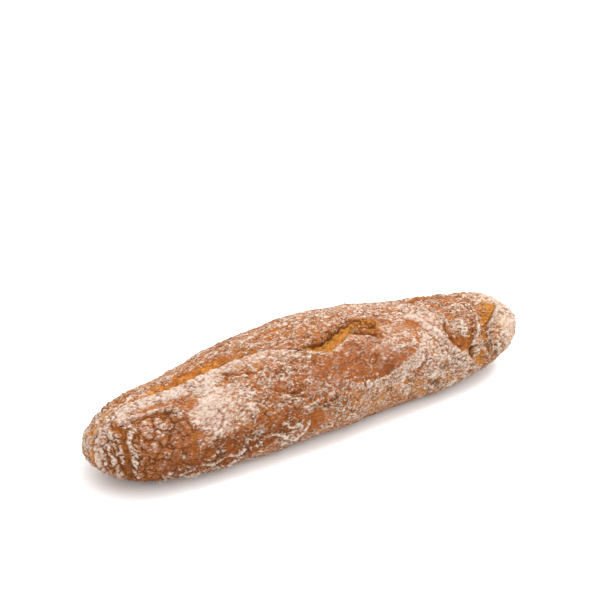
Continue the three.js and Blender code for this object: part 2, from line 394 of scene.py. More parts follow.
def skin_grid(ring_count):
    """Rings evenly spaced along the crown's profile, with steps round each by shares of girth."""
    turn = np.linspace(0, np.pi, CROWN_SAMPLES)
    crown = skin_point(-np.cos(turn) * LENGTH / 2, np.zeros(1))
    run = np.concatenate([[0], np.cumsum(np.linalg.norm(np.diff(crown, axis=0), axis=1))])
    wanted = np.linspace(0, run[-1], ring_count + 2)[1:-1]
    x = np.interp(wanted, run, crown[:, 0])
    reached = 0.0
    shares = []
    for span_end, count in AROUND_SPANS:
        shares.append(np.linspace(reached, span_end, count, endpoint=False))
        reached = span_end
    shares = np.concatenate(shares) / reached
    girth = on_skin(x, np.zeros(len(x)))[1]
    arc = shares[None, :] * girth[:, None]
    point = on_skin(np.broadcast_to(x[:, None], arc.shape), arc)[0]
    signed = np.where(arc > girth[:, None] / 2, arc - girth[:, None], arc)
    return point, signed, shares, wanted / run[-1]


def grid_normals(point):
    """Outward normals: the cross product of the steps round the loaf and along it."""
    along = np.gradient(point, axis=0)
    around = np.roll(point, -1, axis=1) - np.roll(point, 1, axis=1)
    normal = np.cross(around, along)
    return normal / np.maximum(np.linalg.norm(normal, axis=2, keepdims=True), 1e-9)


# ---- relief, flour and baking ----


class Skin:
    """The loaf's points as flat arrays, with what has been laid on them so far. The functions
    below also set ragged, soft, smooth, bared, flake, strong and dust."""

    def __init__(self, ring_count):
        grid, arc, self.shares, self.runs = skin_grid(ring_count)
        self.shape = grid.shape[:2]
        self.point = grid.reshape(-1, 3)
        self.normal = grid_normals(grid).reshape(-1, 3)
        self.arc = arc.ravel()
        # Lines and areas are read at a place moved a little by noise, so none has a drawn edge.
        self.stray = self.point + self.wander(7, 1.3, 40) + self.wander(2.6, 0.5, 50)
        count = len(self.point)
        self.height = np.zeros(count)
        self.slide = np.zeros((count, 3))
        self.flour = np.full(count, PLAIN_FLOUR)
        self.bake = np.full(count, PLAIN_BAKE)
        # Painted shade: how far the crust is darkened where shade falls, in cracks, creases and
        # gaps and under ridges and flakes.
        self.crack = np.zeros(count)
        self.crumb = np.zeros(count)

    def toward(self, name, value, share):
        """Moves the flour, or the baking with its painted shade, toward a value, by a share of the
        way.
        """
        old = getattr(self, name)
        setattr(self, name, old + (value - old) * share)

    def darken(self, amount):
        """Paints shade: makes the painted shade at least this strong."""
        self.crack = np.maximum(self.crack, amount)

    def wander(self, size, amount, seed):
        """A shift of each point by three noises of one size."""
        shifts = [layered(self.point, size, seed + 3 * k, 2) for k in range(3)]
        return amount * np.stack(shifts, axis=1)

    def area(self, x, arc, half_length, half_width, edge=0.3):
        """1 inside an ellipse on the skin, 0 outside, with a frayed soft edge."""
        along = (self.point[:, 0] - x) / half_length
        around = (self.arc - arc) / half_width
        return 1 - ease(1 - edge, 1 + edge, np.hypot(along, around) + FRAY * self.ragged)

    def areas(self, table, edge=0.3):
        """The strongest of a table's areas at each point."""
        return np.max([self.area(*place, edge) for place in table], axis=0)

    def beside(self, places, reach):
        """Signed distance from a line of places, positive on the right of its travel, the share
        of the line at the nearest point, and the unit vector to that right side."""
        places = np.asarray(places, float)
        samples = np.linspace(0, 1, LINE_STEPS * (len(places) - 1) + 1)
        x = through(places[:, 0], samples)
        arc = through(places[:, 1], samples)
        line = on_skin(x, arc)[0]
        tangent = np.gradient(line, axis=0)
        around = on_skin(x, arc + 0.5)[0] - on_skin(x, arc - 0.5)[0]
        along = on_skin(x + 0.5, arc)[0] - on_skin(x - 0.5, arc)[0]
        right = np.cross(tangent, np.cross(around, along))
        right /= np.maximum(np.linalg.norm(right, axis=1, keepdims=True), 1e-9)
        inside = (self.stray > line.min(0) - reach) & (self.stray < line.max(0) + reach)
        near = np.flatnonzero(inside.all(axis=1))
        spot = self.stray[near]
        squared = (spot ** 2).sum(1)[:, None] + (line ** 2).sum(1)[None] - 2 * spot @ line.T
        best = squared.argmin(axis=1)
        gap = spot - line[best]
        signed = np.linalg.norm(gap, axis=1) * np.sign((gap * right[best]).sum(1))
        distance = np.full(len(self.stray), FAR_AWAY)
        share = np.zeros(len(self.stray))
        side = np.zeros((len(self.stray), 3))
        distance[near], share[near], side[near] = signed, samples[best], right[best]
        return distance, share, side


def lay_swells(skin):
    """Broad unevenness: two sizes of noise, and each hollow or lump as a bell."""
    skin.ragged = layered(skin.point, 11, 11, 3)
    skin.height += 1.3 * noise(skin.point, 42, 12) + 0.7 * layered(skin.point, 17, 13, 2)
    for x, arc, half_length, half_width, height in SWELLS:
        reach = np.hypot((skin.point[:, 0] - x) / half_length, (skin.arc - arc) / half_width)
        skin.height += height * bell(reach, 1)


def lay_flour_baking_and_shade(skin):
    """Flour and baking by place, each area laid over those before it, then the foot and the base.
    A broad noise varies the baking. One baking area also lays painted shade low on the -Y side."""
    skin.soft = skin.areas(SOFT_AREAS, 0.6)
    skin.smooth = skin.areas(SMOOTH_AREAS)
    for *place, flour in FLOUR_AREAS:
        skin.toward("flour", flour, skin.area(*place))
    for *place, bake in BAKE_AND_SHADE_AREAS:
        skin.toward("bake", bake, skin.area(*place, 0.5))
    z = skin.point[:, 2]
    foot = (1 - ease(2, 5, z)) * ease(-0.3, 0.3, skin.ragged + 0.15)
    skin.toward("flour", FOOT_FLOUR, foot)
    skin.toward("flour", BASE_FLOUR, 1 - ease(0.5, 3, z))
    skin.bake += 0.2 * layered(skin.point, 20, 21, 4) - 0.04


def lay_leaf_edge(skin):
    """A crisp step: smooth bare crust above the line, thick flour below and right of it. Smooth
    steps of the distance bound each side, and a bell raises the floured one."""
    distance, share, _ = skin.beside(LEAF_LINE, 16)
    fade = ease(0.02, 0.22, share) * (1 - ease(0.72, 1, share))
    beyond = ease(-0.6, 0.6, -distance) * (1 - ease(7, 15, -distance)) * fade
    skin.toward("flour", 0.86, beyond)
    skin.height += 1.3 * beyond * bell(distance + 1.2, 5)
    inside = ease(-0.4, 0.4, distance) * (1 - ease(2, 8, distance)) * fade * ease(0.2, 0.5, share)
    skin.toward("flour", 0, 0.45 * inside)


def lay_cut(skin):
    """The long cut. Behind its line the slope sinks by depth times (1 - share of its width) to
    the power 1.5. A smooth step makes the wall, and a bell the lip, which leans back over it. A
    bell of painted shade darkens the slope's foot under the lip."""
    reach = 20
    distance, share, side = skin.beside(CUT_LINE, reach)
    near = np.abs(distance) < reach
    depth = through(CUT_DEPTHS, share)
    behind = np.clip(-distance / through(CUT_WIDTHS, share), 0, 1)
    slope = near * (1 - ease(-0.5, 1.1, distance))
    skin.height -= slope * depth * (1 - behind) ** 1.5
    skin.height += 0.42 * depth * bell(distance - 2.2, 4.5) * ease(-0.2, 1.4, distance)
    skin.slide -= (0.28 * depth * bell(distance - 1.4, 2.0))[:, None] * side
    bared = slope * (1 - ease(0.62, 1.0, behind + 0.35 * skin.ragged))
    skin.bared = bared * (1 - 0.85 * ease(0.7, 0.86, share))
    skin.toward("flour", 0.74 - 0.71 * ease(0.46, 0.6, share), skin.bared)
    skin.toward("bake", 0.28 + 0.4 * layered(skin.point, 7, 32, 2), skin.bared)
    # Painted shade at the foot of the slope, under the lip.
    shaded = 0.8 * bell(distance + 1.4, 1.3) * (0.75 + 0.5 * layered(skin.point, 9, 33, 2))
    skin.darken(shaded * near * ease(0.12, 0.2, share))
    on_lip = ease(0.3, 1.4, distance) * (1 - ease(5, 10, distance)) * ease(0.08, 0.2, share)
    skin.toward("flour", 1.05 - 0.25 * ease(0.6, 0.8, share), on_lip * near)


def lay_tear(skin):
    """The deep tear, read across in half widths. The torn crumb is deepest at the back wall and
    rises evenly to the rim, with Worley lumps on it and bells for the wall, its chunks and rim.
    Painted shade darkens the back wall and the gaps between the chunks."""
    reach = 16
    distance, share, side = skin.beside(TEAR_LINE, reach)
    half = np.maximum(through(TEAR_WIDTHS, share), 0.3)
    across = distance / half
    near = (np.abs(distance) < reach) * ease(0.3, 1.5, half)
    inside = near * ease(-1.15, -0.95, across) * (1 - ease(0.85, 1.1, across))
    lumps = 1.9 * (0.5 - cells(skin.stray, 3.2, 61)[0]) + 0.5 * layered(skin.point, 1.8, 62, 2)
    skin.height += inside * (lumps - half * (0.3 + 0.5 * np.clip((1 - across) / 2, 0, 1)))
    skin.slide += (0.3 * half * bell(across + 1.3, 0.35) * near)[:, None] * side
    skin.crumb = np.maximum(skin.crumb, inside)
    # Painted shade on the back wall.
    skin.darken(near * bell(across + 0.95, 0.14))
    first, second, _ = cells(skin.stray, 4.2, 64)
    chunks = near * bell(across + 1.4, 0.6)
    skin.height += 3.6 * chunks * (0.55 - first)
    # Painted shade in the gaps between the chunks.
    skin.darken(chunks * (1 - ease(0.03, 0.2, second - first)))
    skin.toward("flour", 0.45, chunks)
    rim = near * bell(across - 1.35, 0.35)
    skin.height += 0.5 * rim
    skin.toward("flour", 0.7, rim * (1 - ease(0.35, 0.5, share)))
    skin.toward("bake", 0.25, rim)


def lay_rubble(skin):
    """Broken crumbs of crust at the tear's +X end: Worley cells, domed, each at its own height,
    with painted shade in the gaps between them.
    """
    rubble = skin.area(*RUBBLE_AREA, 0.35)
    first, second, number = cells(skin.stray + skin.wander(3, 1.4, 66), 3.6, 63)
    skin.height += rubble * (3.4 * (0.5 - first) + 1.0 * (number - 0.5))
    # Painted shade in the gaps between the crumbs.
    skin.darken(rubble * (1 - ease(0.03, 0.24, second - first)))
    skin.crumb = np.maximum(skin.crumb, 0.75 * rubble * ease(0.35, 0.6, number))
    skin.toward("flour", 0.1 + 0.5 * number, rubble)
    skin.toward("bake", 0.35, rubble)


def lay_opening(skin):
    """The small tear of the +X end: bared crumb that dips evenly toward a thin fin of crust, with
    Worley lumps on it, an edge frayed by noise, and a bell for the fin. A bell of painted shade
    darkens the crumb beside the fin."""
    distance, share, _ = skin.beside(FIN_LINE, 26)
    taper = ease(0, 0.2, share) * ease(0, 0.15, 1 - share)
    fray = layered(skin.point, 3.5, 67, 2)
    torn = 6 * skin.ragged + 9 * fray + 6 * share
    inside = ease(0.5, 1.5, distance) * (distance < 24) * (1 - ease(9, 15, distance + torn))
    inside *= ease(0, 0.15, share + 0.3 * fray) * (1 - ease(0.75, 0.98, share + 0.4 * fray))
    lumps = 1.6 * (0.5 - cells(skin.stray, 3.0, 65)[0])
    skin.height += inside * (lumps - 1.2 * (1 - distance / 13))
    skin.crumb = np.maximum(skin.crumb, 0.65 * inside)
    skin.toward("flour", 0.8 * layered(skin.point, 3, 68, 2), inside)
    skin.toward("bake", 0.02, inside)
    # Painted shade on the crumb beside the fin.
    skin.darken(0.7 * taper * bell(distance - 1.3, 0.6))
    skin.height += 2.6 * taper * bell(distance + 0.4, 1.1)
    skin.flour += 1.5 * taper * bell(distance + 0.4, 1.3)


def lay_lines(skin):
    """Ridges and creases: bells across each line, thinning out toward its ends. Painted shade
    darkens each crease and the low side of a high ridge, and a bared crease shows the crust."""
    wobble = 1 + 0.5 * layered(skin.point, 8, 31, 2)
    breaks = ease(-0.85, -0.15, layered(skin.point, 5, 34, 2))
    for places, width, height, flour, crack in LINES:
        distance, share, _ = skin.beside(places, 4 * width + 2)
        across = distance / wobble
        taper = ease(0, 0.16, share) * ease(0, 0.16, 1 - share)
        if abs(height) < UNBROKEN_HEIGHT:
            taper = taper * breaks
        line = bell(across, width) * taper
        skin.height += height * line
        skin.flour += flour * bell(across, 1.15 * width) * taper
        skin.soft = np.maximum(skin.soft, ease(1.1, 1.5, flour) * line)
        bared = ease(1.0, 1.6, -flour) * ease(0.25, 0.7, line + 0.3 * skin.ragged)
        skin.bared = np.maximum(skin.bared, bared)
        skin.toward("bake", 0.3, np.clip(-flour, 0, 1) * (1 - crack) * line)
        # Painted shade along a crease, and on the low side of a ridge higher than 0.9.
        overhang = np.clip(height - 0.9, 0, 1)
        shade = 0.6 * overhang * bell(distance - 1.5 * width, 0.6 * width)
        skin.darken(np.maximum(crack * bell(across, 0.7 * width), shade) * taper)


def lay_plates(skin):
    """Plates of dough that hold the flour, parted by stretched gaps that show the crust, with
    painted shade in the gaps. They are Worley cells: the gap between the two nearest centres falls
    to
    0 at an edge. Flour lies where noise and gap together pass a level that drops as the flour
    grows."""
    skin.strong = skin.areas(CRACKLE_AREAS, 0.6) * (1 - skin.smooth)
    calm = (1 - 0.8 * skin.smooth) * (1 - skin.crumb)
    amount = calm * (0.3 + 0.7 * skin.strong) * (1 - 0.6 * skin.bared)
    end = ease(150, 176, -skin.point[:, 0])[:, None]
    drawn = skin.stray * (1 + end * np.array(END_STRETCH))
    streaked = skin.point * np.array([0.6, 1.0, 1.0])
    islands = 0.13 * layered(streaked, 1.8, 75, 2) + 0.20 * layered(streaked, 9, 76, 3)
    tops = np.zeros(len(skin.point))
    for size, height, weight, share, seed in PLATES:
        first, second, number = cells(drawn + skin.wander(size, 0.3 * size, seed), size, seed)
        gap = second - first
        tilt = number - 0.5
        islands += weight * (0.35 + 0.65 * skin.strong) * (gap - 0.35 + 0.6 * tilt)
        tops += share * (gap + 0.9 * tilt)
        skin.height += amount * height * (ease(0, 0.18, gap) - 0.6 + 0.4 * tilt)
        # Painted shade in the gaps between the plates.
        skin.darken((0.5 + 0.45 * share) * amount * (1 - ease(0.01, 0.11, gap)))
    flour = skin.flour
    uneven = 0.45 - 0.25 * skin.soft
    thickness = 0.62 + 0.35 * (flour - 0.5) + uneven * layered(skin.point, 5, 77, 3)
    dust = np.clip(1.15 * flour - 0.08 + 0.5 * layered(skin.point, 7, 78, 3), 0, 1)
    skin.dust = np.maximum(dust * ease(-0.1, 0.3, flour), 0.42 * skin.strong)
    heaped = 0.5 * ease(1.2, 2.0, flour)
    covered = ease(-0.12, 0.12, tops - 0.80 + 0.98 * flour)
    on_tops = 0.05 + (0.38 + 0.4 * np.clip(flour, 0, 1)) * covered
    patches = 1.3 * ease(-0.36, 0.36, islands - 0.46 + 0.98 * flour) - 0.3
    skin.flour = patches * np.clip(thickness, 0.25, 1)
    skin.toward("flour", on_tops, 0.85 * skin.strong)
    skin.flour += heaped + 0.1 * skin.strong * (covered - 0.6)


def drawn_noise(skin, stretch, size, stray, seed):
    """Layered noise on stretched points that wander by a share of its size."""
    drawn = skin.point * np.array(stretch) + skin.wander(size, stray * size, seed)
    return layered(drawn, size, seed + 1, 2)


def lay_flakes(skin):
    """Thin curled flakes: raised floured lines where a noise crosses zero, with a low side that
    sinks a little, holds less flour and gets painted shade. The material's own finer flakes follow
    the flake mask."""
    zone = skin.areas(FLAKE_AREAS, 0.7)
    crusted = (1 - skin.crumb) * (1 - skin.bared)
    skin.flake = (0.3 + 0.7 * zone) * crusted * (1 - skin.soft)
    skin.flake *= ease(-0.35, 0.05, noise(skin.point, 16, 87)) * (1 - skin.smooth)
    zone = (0.5 + 0.5 * zone) * crusted * (1 - 0.7 * skin.smooth)
    for size, width, seed in FLAKES:
        value = drawn_noise(skin, (0.8, 1.0, 1.2), size, 0.5, seed)
        amount = zone * ease(-0.15, 0.3, noise(skin.point, 12, seed + 2))
        curl = amount * bell(value, width)
        shade = amount * bell(value + 2.2 * width, width)
        skin.height += 1.0 * curl - 0.3 * shade
        skin.flour += 0.95 * curl - 0.5 * shade
        # Painted shade on the flake's low side.
        skin.darken(0.45 * shade)


def lay_wrinkles(skin):
    """Short thin creases that run mostly along the loaf, where stretched noise crosses zero,
    darkened with painted shade.
    """
    calm = (1 - skin.crumb) * (1 - 0.7 * skin.area(*BARE_PATCH)) * (1 - 0.8 * skin.strong)
    for size, width, seed in WRINKLES:
        value = drawn_noise(skin, (0.55, 1.0, 1.0), size, 0.4, seed)
        crease = calm * ease(-0.25, 0.25, noise(skin.point, 15, seed + 2)) * bell(value, width)
        skin.height -= 0.5 * crease
        # Painted shade in each crease.
        skin.darken(0.55 * crease)


def lay_grain(skin):
    """Fine unevenness everywhere. Flour thins where painted shade lies, in cracks, creases and
    under ridges and flakes, and flour adds its own thickness.
    """
    calm = 1 - 0.6 * skin.area(*BARE_PATCH)
    skin.height += 0.38 * calm * layered(skin.point, 4.2, 91, 3)
    kept = 1 - 0.8 * np.clip(skin.crack, 0, 1)
    skin.flour *= kept
    skin.dust *= kept * (1 - 0.4 * skin.bared)
    skin.height += 0.3 * skin.flour


def loaf_points(skin):
    """The skin moved out by its relief and along its slides, kept off the floor, and centred. A
    distance d past the frame's box shrinks to spare times tanh(d / spare). In metres."""
    above_base = ease(0.5, 6, skin.point[:, 2])
    moved = skin.point + (skin.height * above_base)[:, None] * skin.normal + skin.slide
    moved[:, 2] = np.maximum(moved[:, 2], 0)
    grid = moved.reshape(skin.shape + (3,))
    tips = np.stack([grid[0].mean(axis=0), grid[-1].mean(axis=0)])
    tips[:, 0] += (-TIP_PUSH, TIP_PUSH)
    points = np.concatenate([moved, tips])
    points[:, :2] -= (skin.point.min(0) + skin.point.max(0))[:2] / 2
    half = np.array([LENGTH / 2, LOAF_HIGH[1] / MM, LOAF_HIGH[2] / MM])
    over = np.maximum(np.abs(points) - half, 0)
    spare = SPARE_SHARE * half
    points -= np.sign(points) * (over - spare * np.tanh(over / spare))
    return MM * points


def loaf_faces(shape):
    """Quads between the rings, wrapping round, and a fan of triangles at each tip."""
    rings, around = shape
    j = np.arange(around)
    following = (j + 1) % around
    start = np.arange(rings - 1)[:, None] * around
    quads = np.stack([start + j, start + following, start + around + following, start + around + j],
                     axis=-1).reshape(-1, 4)
    near_tip = np.full(around, rings * around)
    near = np.stack([near_tip, following, j], axis=-1)
    last = (rings - 1) * around
    far = np.stack([last + j, last + following, near_tip + 1], axis=-1)
    return quads, np.concatenate([near, far])


def loaf_uv(skin, quads, triangles):
    """A flat map: the run along the crown across, the share of the girth up, with an open seam."""
    rings, around = skin.shape
    run = np.concatenate([np.repeat(skin.runs, around), [0, 1]])
    share = np.concatenate([np.tile(skin.shares, rings), [0, 0]])
    corners = np.concatenate([quads.ravel(), triangles.ravel()])
    u, v = run[corners], share[corners]
    first = np.concatenate([np.repeat(quads[:, 0], 4), np.repeat(triangles[:, 2], 3)])
    half = len(triangles) // 2
    first[len(quads) * 4 + 3 * half:] = np.repeat(triangles[half:, 0], 3)
    at_tip = corners >= rings * around
    v = np.where(at_tip, share[first] + 0.5 / around, v)
    v = np.where(~at_tip & (share[first] > 0.5) & (v < 0.25), 1.0, v)
    return MAP_MARGIN + (1 - 2 * MAP_MARGIN) * np.stack([u, v], axis=-1)


def make_mesh(name, points, quads, triangles, uv):
    """Puts the arrays into a smooth-shaded mesh with one UV map."""
    mesh = bpy.data.meshes.new(name)
    loops = np.concatenate([quads.ravel(), triangles.ravel()])
    sizes = np.concatenate([np.full(len(quads), 4), np.full(len(triangles), 3)])
    mesh.vertices.add(len(points))
    mesh.vertices.foreach_set("co", points.astype(np.float32).ravel())
    mesh.loops.add(len(loops))
    mesh.loops.foreach_set("vertex_index", loops.astype(np.int32))
    mesh.polygons.add(len(sizes))
    starts = np.concatenate([[0], np.cumsum(sizes)[:-1]])
    mesh.polygons.foreach_set("loop_start", starts.astype(np.int32))
    mesh.polygons.foreach_set("use_smooth", np.ones(len(sizes), bool))
    mesh.update(calc_edges=True)
    layer = mesh.uv_layers.new(name="OFBake")
    layer.data.foreach_set("uv", uv.astype(np.float32).ravel())
    mesh.validate()
    return mesh


def add_mask(mesh, name, values):
    """A number for each point, kept from 0 to 1, for the material to read."""
    attribute = mesh.attributes.new(name, "FLOAT", "POINT")
    attribute.data.foreach_set("value", np.clip(values, 0, 1).astype(np.float32))


# ---- materials ----


class Nodes:
    """A short way to add and join shader nodes."""

    def __init__(self, material):
        material.use_nodes = True
        self.tree = material.node_tree
        self.tree.nodes.clear()

    def add(self, kind, inputs=None, **settings):
        """One node, with its settings, and its inputs set or linked by name or number."""
        node = self.tree.nodes.new(kind)
        for key, value in settings.items():
            setattr(node, key, value)
        for key, value in (inputs or {}).items():
            if isinstance(value, bpy.types.NodeSocket):
                self.tree.links.new(value, node.inputs[key])
            else:
                node.inputs[key].default_value = value
        return node

    def math(self, operation, a, b=0.0, c=0.0):
        """One operation on two values, or on three for a product with a sum."""
        return self.add("ShaderNodeMath", {0: a, 1: b, 2: c}, operation=operation).outputs[0]

    def times(self, a, b):
        """The product of two values."""
        return self.math("MULTIPLY", a, b)

    def plus(self, value, other, share):
        """A value plus a share of another."""
        return self.math("ADD", value, self.times(other, share))

    def off_half(self, value):
        """How far a value is from one half, with its sign."""
        return self.math("SUBTRACT", value, 0.5)

    def vector(self, operation, a, b):
        """One operation on two vectors."""
        return self.add("ShaderNodeVectorMath", {0: a, 1: b}, operation=operation).outputs[0]

    def mix(self, factor, a, b):
        """Colour a, turned into colour b by the factor."""
        return self.add("ShaderNodeMix", {0: factor, 6: a, 7: b}, data_type="RGBA").outputs[2]

    def step(self, value, low, high):
        """Smooth step of a value between low and high."""
        inputs = {"Value": value, "From Min": low, "From Max": high}
        return self.add("ShaderNodeMapRange", inputs, interpolation_type="SMOOTHSTEP").outputs[0]

    def ramp(self, value, stops):
        """A colour ramp from (position, colour) stops."""
        node = self.add("ShaderNodeValToRGB", {0: value})
        marks = node.color_ramp.elements
        while len(marks) < len(stops):
            marks.new(0.5)
        for mark, (position, colour) in zip(marks, stops):
            mark.position = position
            mark.color = opaque(colour)
        return node.outputs[0]

    def noise(self, where, scale, detail, roughness=0.55):
        """Layered noise. The scale is in grains to the metre."""
        inputs = {"Vector": where, "Scale": scale, "Detail": detail, "Roughness": roughness}
        return self.add("ShaderNodeTexNoise", inputs).outputs["Fac"]

    def surface(self, inputs):
        """The shader with these inputs, as the material's surface."""
        shader = self.add("ShaderNodeBsdfPrincipled", inputs)
        self.add("ShaderNodeOutputMaterial", {"Surface": shader.outputs[0]})


def opaque(colour):
    """A colour of three numbers with full cover."""
    return (*colour, 1)


def crust_material(settings):
    """Baked crust under patchy flour, bared crumb in the tears, and painted shade in the cracks,
    seams and pores and under flakes. Flour covers where its mask and a fine speckle together pass a
    smooth step."""
    material = bpy.data.materials.new("floured_crust")
    nodes = Nodes(material)
    place = nodes.add("ShaderNodeTexCoord").outputs["Object"]

    def mask(name):
        """One of the points' attributes."""
        return nodes.add("ShaderNodeAttribute", attribute_name=name).outputs["Fac"]

    # Grain in three sizes, the two finer ones drawn out along the loaf.
    drawn = nodes.vector("MULTIPLY", place, (0.6, 1, 1))
    fine = nodes.noise(drawn, 700, 2, 0.6)
    small = nodes.noise(drawn, 380, 3)
    broad = nodes.noise(place, 90, 3)

    # Crust, from golden to dark, by the baking mask, which also holds painted shade on the low -Y
    # side.
    baked = nodes.plus(mask("bake"), nodes.off_half(broad), 0.5)
    baked = nodes.plus(baked, nodes.off_half(small), 0.9)
    crust = nodes.ramp(baked, ((0.0, settings.golden), (0.36, settings.brown),
                               (0.66, settings.russet), (1.0, settings.dark)))

    # Hairline seams lie where either of two noises crosses one half: -1 there, and 0 elsewhere.
    folds = [nodes.math("ABSOLUTE", nodes.off_half(nodes.noise(drawn, scale, 3, 0.6)))
             for scale in (85, 210)]
    seams = nodes.math("SUBTRACT", nodes.step(nodes.math("MINIMUM", *folds), 0, SEAM_WIDTH), 1.0)

    # Flour: its mask, speckled and seamed, and less so where it lies soft.
    sparkle = nodes.off_half(nodes.plus(nodes.times(small, 0.3), fine, 0.7))
    flour = nodes.times(nodes.math("SUBTRACT", mask("flour"), FLOUR_BARE), FLOUR_RANGE)
    crisp = nodes.math("MULTIPLY_ADD", mask("soft"), -0.55, 1.0)
    seams = nodes.times(seams, crisp)
    held = nodes.plus(flour, nodes.times(sparkle, crisp), FLOUR_SPECKLE)
    thick = nodes.step(nodes.plus(held, seams, 0.3), 0.08, 1.12)

    # Curled flakes: thin lines where a noise crosses one half, with a shade under each.
    gate = nodes.step(nodes.noise(place, 130, 2, 0.5), 0.42, 0.52)
    gate = nodes.times(gate, mask("flake"))

    def curl(where):
        """1 on a flake's line at a place, 0 off it."""
        line = nodes.math("ABSOLUTE", nodes.off_half(nodes.noise(where, 150, 2, 0.5)))
        line = nodes.math("SUBTRACT", 1.0, nodes.step(line, 0.012, 0.045))
        return nodes.times(line, gate)

    curled = curl(drawn)
    above = nodes.vector("ADD", drawn, SHADE_SHIFT)
    shaded = nodes.times(curl(above), nodes.math("SUBTRACT", 1.0, curled))
    thick = nodes.math("MAXIMUM", thick, nodes.times(curled, 0.9))

    # A thin film of dust on the crust, and the flour over it.
    dusted = nodes.step(nodes.plus(mask("dust"), sparkle, FILM_SPECKLE), 0.1, 1.0)
    film = nodes.times(dusted, settings.film)
    floured = nodes.mix(film, crust, opaque(settings.flour_shade))
    flour_tone = nodes.ramp(nodes.plus(fine, flour, 0.3),
                            ((0.35, settings.flour_shade), (0.75, settings.flour)))
    veil = nodes.times(mask("soft"), 0.5)
    flour_tone = nodes.mix(veil, flour_tone, opaque(settings.flour_veil))
    floured = nodes.mix(nodes.times(thick, 0.92), floured, flour_tone)

    # Bared crumb with painted shade in its pores, then painted shade in cracks, seams and under
    # flakes.
    # The pores are painted shade: the crumb darkens near each Voronoi centre, and also where noise
    # runs low.
    pores = nodes.add("ShaderNodeTexVoronoi", {"Vector": place, "Scale": 420}).outputs["Distance"]
    crumb = nodes.ramp(nodes.plus(nodes.times(pores, 0.9), small, 0.5),
                       ((0.3, settings.crumb_pore_shade), (0.65, settings.crumb)))
    colour = nodes.mix(nodes.step(mask("crumb"), 0.25, 0.75), floured, crumb)
    # Painted shade: from the points' shade mask, the hairline seams and under the fine flakes.
    painted_shade_share = nodes.times(nodes.step(mask("crack"), 0.1, 0.8), 0.85)
    # Painted shade in the hairline seams, less where the flour is thick.
    hairline = nodes.math("MULTIPLY_ADD", thick, 0.35, -0.75)
    painted_shade_share = nodes.math("MULTIPLY_ADD", seams, hairline, painted_shade_share)
    painted_shade_share = nodes.math("MAXIMUM", painted_shade_share, nodes.times(shaded, 0.65))
    colour = nodes.mix(painted_shade_share, colour, opaque(settings.crack))

    # Fine relief from the grain, the flour, the seams and the flakes.
    tall = nodes.times(small, 0.6)
    for part, share in ((fine, 0.35), (thick, 0.25), (seams, 0.2), (curled, 0.4)):
        tall = nodes.plus(tall, part, share)
    bump = nodes.add("ShaderNodeBump", {"Height": tall, "Strength": 0.95, "Distance": BUMP_HEIGHT})
    rough = nodes.add("ShaderNodeMapRange", {"Value": thick, "To Min": 0.62, "To Max": 0.95})
    nodes.surface({"Base Color": colour, "Roughness": rough.outputs[0],
                   "Normal": bump.outputs[0], "Specular IOR Level": 0.02})
    return material


def floor_material(settings):
    """Plain pale card with a faint even mottle."""
    material = bpy.data.materials.new("pale_floor")
    nodes = Nodes(material)
    place = nodes.add("ShaderNodeTexCoord").outputs["Object"]
    mottle = nodes.add("ShaderNodeTexNoise", {"Vector": place, "Scale": 3.0}).outputs["Fac"]
    pale = settings.floor
    paler = [min(1.0, channel * 1.02) for channel in pale]
    colour = nodes.ramp(mottle, ((0.3, pale), (0.7, paler)))
    nodes.surface({"Base Color": colour, "Roughness": 0.9, "Specular IOR Level": 0.1})
    return material


# ---- settings and operators ----


def colour_property(name, description, default):
    """A colour that the sidebar shows."""
    return bpy.props.FloatVectorProperty(name=name, description=description, default=default,
                                         subtype="COLOR", size=3, min=0, max=1)


class LoafSettings(bpy.types.PropertyGroup):
    """The loaf's fineness and colours."""

    ring_count: bpy.props.IntProperty(name="Rings", description="Rings along the loaf", default=418,
                                      min=40, max=420)
    film: bpy.props.FloatProperty(name="Film", description="Share of the thin veil of flour",
                                  default=0.6, min=0, max=1, subtype="FACTOR")
    flour: colour_property("Flour", "Thick dry flour", (0.60, 0.488, 0.40))
    flour_shade: colour_property("Thin flour", "Flour where it is thin", (0.45, 0.30, 0.215))
    flour_veil: colour_property("Veil of flour", "Flour that lies evenly", (0.545, 0.47, 0.42))
    golden: colour_property("Golden crust", "Least baked crust", (0.53, 0.218, 0.042))
    brown: colour_property("Brown crust", "Well baked crust", (0.33, 0.108, 0.0195))
    russet: colour_property("Russet crust", "Hard baked crust", (0.26, 0.073, 0.018))
    dark: colour_property("Dark crust", "Darkest crust", (0.14, 0.042, 0.013))
    # The colour of the painted shade in cracks, creases, seams and gaps, on the tear's back wall
    # and under ridges and flakes.
    crack: colour_property("Crack", "Depth of the cracks", (0.12, 0.038, 0.009))
    crumb: colour_property("Crumb", "Bared crumb", (0.42, 0.17, 0.034))
    # Painted shade in the crumb's pores, also shown where noise runs low.
    crumb_pore_shade: colour_property("Crumb pores", "Pores of the crumb", (0.17, 0.058, 0.012))


